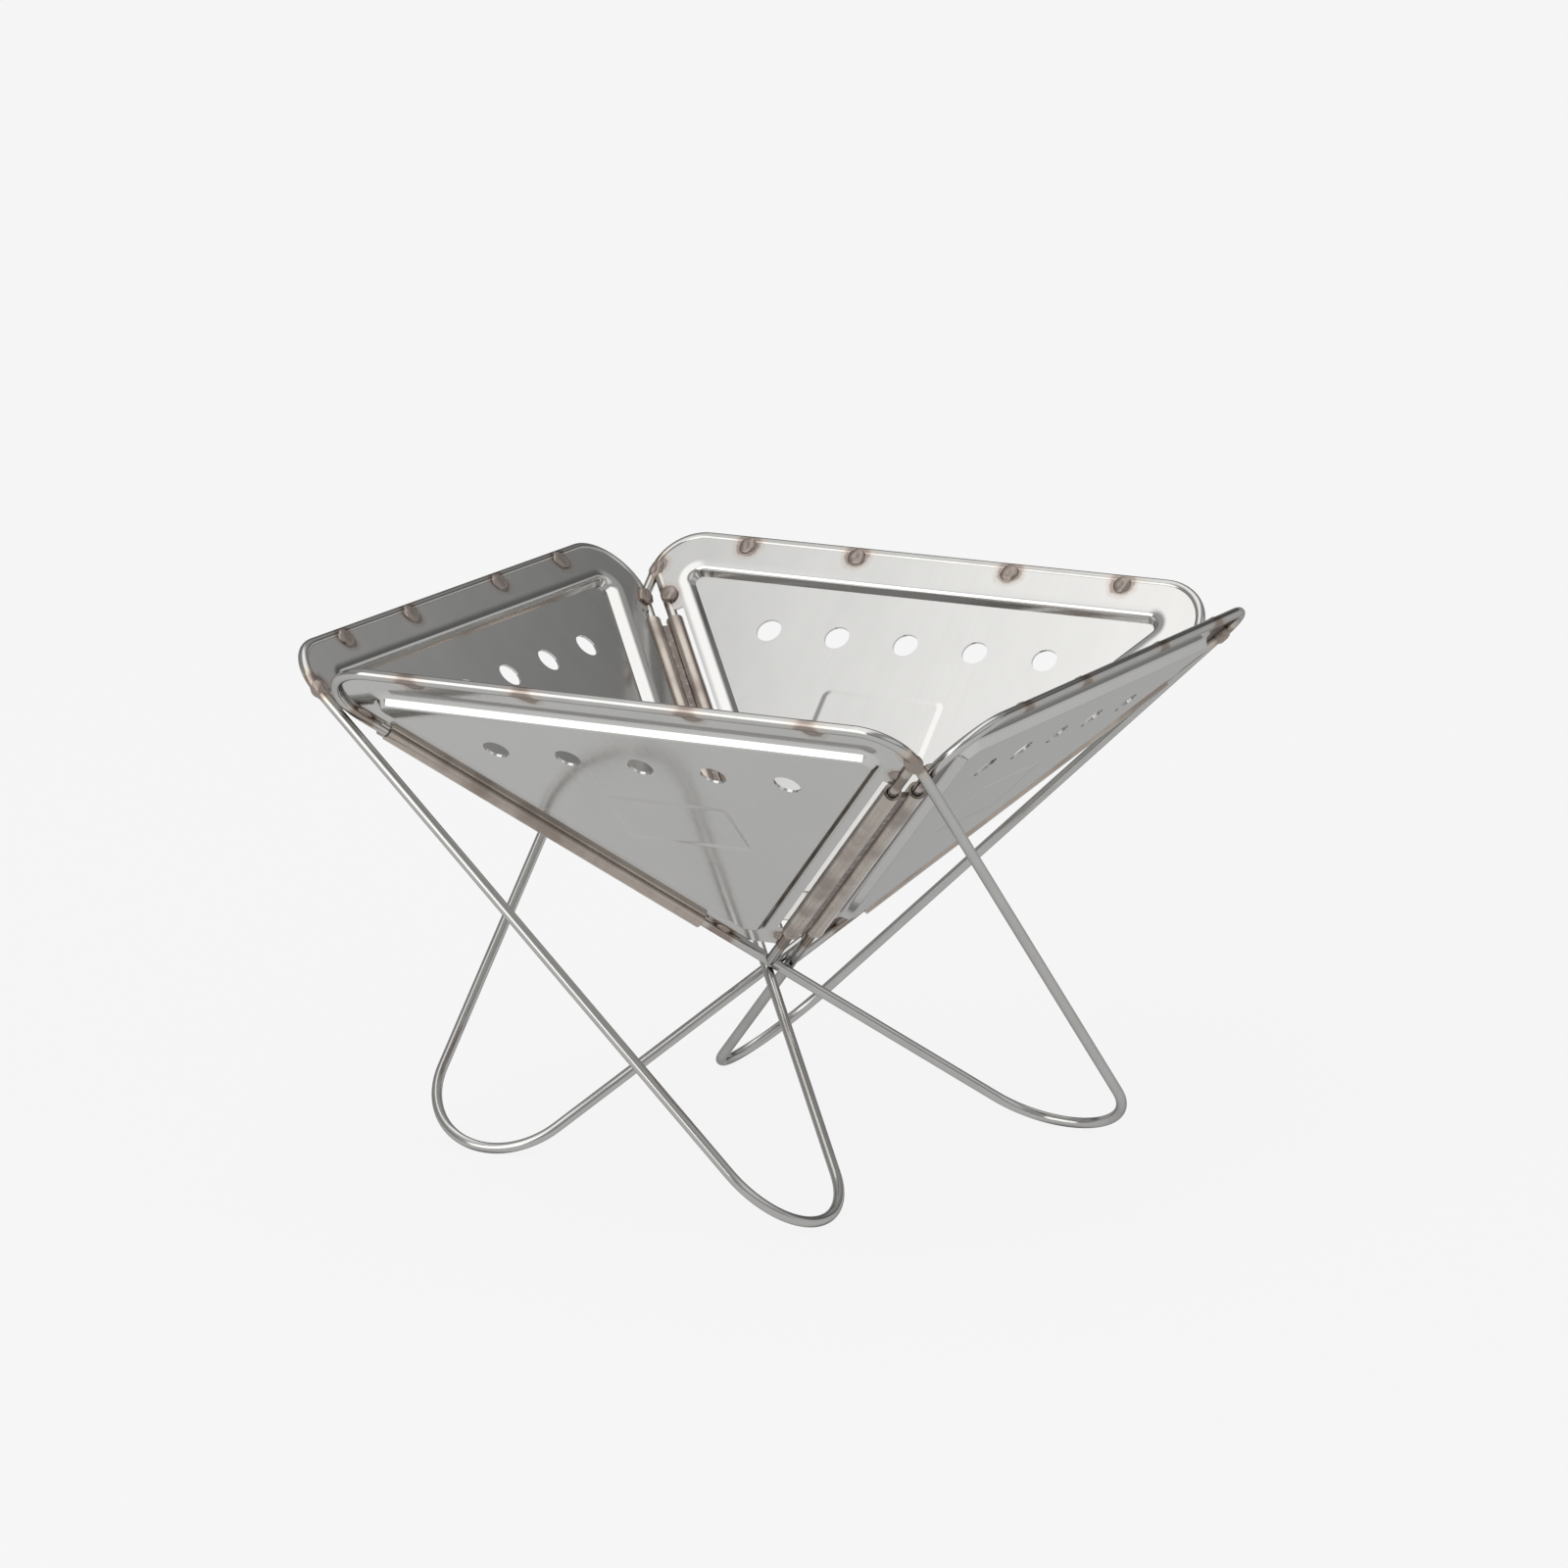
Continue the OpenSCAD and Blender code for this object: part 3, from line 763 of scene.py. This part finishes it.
class PIT_OT_stage(bpy.types.Operator):
    """Sets the floor, the studio light and the camera"""

    bl_idname = "pit.stage"
    bl_label = "Studio"

    def floor(self, finish):
        """A wide, pale floor, lit evenly as the camera and the metal see it, with a faint shadow."""
        bm = bmesh.new()
        bmesh.ops.create_circle(bm, cap_ends=True, radius=FLOOR_RADIUS, segments=96)
        mesh = bpy.data.meshes.new("floor")
        bm.to_mesh(mesh)
        bm.free()
        obj = bpy.data.objects.new("floor", mesh)
        bpy.context.scene.collection.objects.link(obj)
        t = Tree(bpy.data.materials.new("floor_paper"))
        camera_share, mirror_share, mirror_light = 0.94, 0.8, 0.78
        rays = t.add("ShaderNodeLightPath")
        seen = t.math("MAXIMUM", rays.outputs["Is Camera Ray"], rays.outputs["Is Transmission Ray"])
        mirrored = t.math("MULTIPLY", rays.outputs["Is Glossy Ray"], mirror_share)
        seen = t.math("MAXIMUM", t.math("MULTIPLY", seen, camera_share), mirrored)
        matt = t.add("ShaderNodeBsdfDiffuse", {"Color": rgba(finish.floor_colour)})
        dim = t.ranged(rays.outputs["Is Glossy Ray"], 0.0, 1.0, 1.0, mirror_light)
        glow = t.add("ShaderNodeEmission", {"Color": rgba(finish.floor_colour), "Strength": dim})
        both = t.add("ShaderNodeMixShader", {0: seen, 1: matt.outputs[0], 2: glow.outputs[0]})
        t.tree.links.new(both.outputs[0], t.out.inputs["Surface"])
        obj.data.materials.append(t.owner)

    def world(self, finish):
        """A dim room for the metal to mirror, seen by the camera as pale as the floor."""
        world = bpy.data.worlds.new("studio")
        bpy.context.scene.world = world
        t = Tree(world, "ShaderNodeOutputWorld")
        rays = t.add("ShaderNodeLightPath")
        way = t.add("ShaderNodeTexCoord").outputs["Generated"]
        parts = t.add("ShaderNodeSeparateXYZ", {0: way})
        right, back, up = parts.outputs[0], parts.outputs[1], parts.outputs[2]
        glow_light, paper_light, fill_light = 1.0, 0.5, 0.4
        front_light, back_light, high_light = 0.36, 0.14, 0.43
        left_edge = t.ranged(right, -0.553, -0.375, 0.0, glow_light)
        across = t.math("MULTIPLY", left_edge, t.ranged(right, 0.35, 0.05))
        along = t.math("MULTIPLY", t.ranged(back, 0.68, 0.42), t.ranged(up, 0.5, 0.75))
        glow = t.math("MULTIPLY", across, along)
        paper = t.math("MULTIPLY", t.ranged(up, 0.36, 0.24, 0.0, paper_light), t.ranged(back, -0.1, 0.4))
        low = t.ranged(back, -0.2, 0.3, front_light, back_light)
        rise = t.math("MULTIPLY", t.ranged(up, 0.44, 0.54), t.math("SUBTRACT", high_light, low))
        room = t.math("ADD", low, rise)
        fill = t.math("MULTIPLY", t.ranged(right, 0.5, 0.75, 0.0, fill_light), t.ranged(up, 0.2, 0.4))
        light = t.math("ADD", t.math("ADD", room, paper), t.math("ADD", glow, fill))
        studio = t.add("ShaderNodeBackground", {"Color": (1, 1, 1, 1), "Strength": light})
        backdrop = t.add("ShaderNodeBackground", {"Color": rgba(finish.floor_colour), "Strength": 1.0})
        sides = {0: rays.outputs["Is Camera Ray"], 1: studio.outputs[0], 2: backdrop.outputs[0]}
        both = t.add("ShaderNodeMixShader", sides)
        t.tree.links.new(both.outputs[0], t.out.inputs["Surface"])

    def lamp(self, name, place, aim, size, glow):
        """A soft box of a given brightness."""
        data = bpy.data.lights.new(name, "AREA")
        data.shape = "RECTANGLE"
        data.size, data.size_y = size
        data.energy = math.pi * size[0] * size[1] * glow
        obj = bpy.data.objects.new(name, data)
        obj.location = place
        obj.rotation_euler = (Vector(aim) - Vector(place)).to_track_quat("-Z", "Y").to_euler()
        obj.visible_camera = False
        bpy.context.scene.collection.objects.link(obj)

    def camera(self, layout):
        """The photograph's view, aimed a little above the bowl's point."""
        az, el = CAMERA_TURN, CAMERA_RISE
        pixel = CAMERA_DISTANCE / CAMERA_FOCAL
        back = Vector((math.sin(az) * math.cos(el), -math.cos(az) * math.cos(el), math.sin(el)))
        right = Vector((math.cos(az), math.sin(az), 0))
        up = back.cross(right)
        target = Vector((0, 0, layout.point_z))
        aim = target + up * (AIM_UP * pixel) + right * (AIM_RIGHT * pixel)
        data = bpy.data.cameras.new("camera")
        data.sensor_width = SENSOR
        data.lens = CAMERA_FOCAL / FRAME_SIDE * SENSOR
        data.clip_start, data.clip_end = 0.05, 100.0
        obj = bpy.data.objects.new("camera", data)
        obj.location = target + back * CAMERA_DISTANCE
        obj.rotation_euler = (aim - obj.location).to_track_quat("-Z", "Y").to_euler()
        bpy.context.scene.collection.objects.link(obj)
        bpy.context.scene.camera = obj

    def execute(self, context):
        context.scene.view_settings.view_transform = "Standard"
        self.floor(context.scene.pit_finish)
        self.world(context.scene.pit_finish)
        self.lamp("front_left", LAMP_PLACE, LAMP_AIM, LAMP_SIZE, LAMP_GLOW)
        self.camera(Layout(context.scene.pit_sizes))
        return {"FINISHED"}


class PIT_PT_panel(bpy.types.Panel):
    """Buttons and sizes of the fire pit"""

    bl_idname = "PIT_PT_panel"
    bl_label = "Fire pit"
    bl_space_type = "VIEW_3D"
    bl_region_type = "UI"
    bl_category = "Fire pit"

    def draw(self, context):
        for operator in OPERATORS:
            self.layout.operator(operator.bl_idname)
        for group in (context.scene.pit_sizes, context.scene.pit_finish):
            box = self.layout.box()
            for key in group.__annotations__:
                box.prop(group, key)


OPERATORS = (PIT_OT_stage, PIT_OT_sheets, PIT_OT_frames, PIT_OT_hinges, PIT_OT_welds)
CLASSES = (PitSizes, PitFinish) + OPERATORS + (PIT_PT_panel,)


def register():
    """Adds the sizes, the operators and the panel."""
    for item in CLASSES:
        bpy.utils.register_class(item)
    bpy.types.Scene.pit_sizes = PointerProperty(type=PitSizes)
    bpy.types.Scene.pit_finish = PointerProperty(type=PitFinish)


def unregister():
    """Takes them away again."""
    del bpy.types.Scene.pit_finish
    del bpy.types.Scene.pit_sizes
    for item in reversed(CLASSES):
        bpy.utils.unregister_class(item)


def main():
    """Dresses the part."""
    register()
    bpy.ops.pit.stage()
    bpy.ops.pit.sheets()
    bpy.ops.pit.frames()
    bpy.ops.pit.hinges()
    bpy.ops.pit.welds()


if __name__ == "__main__":
    main()
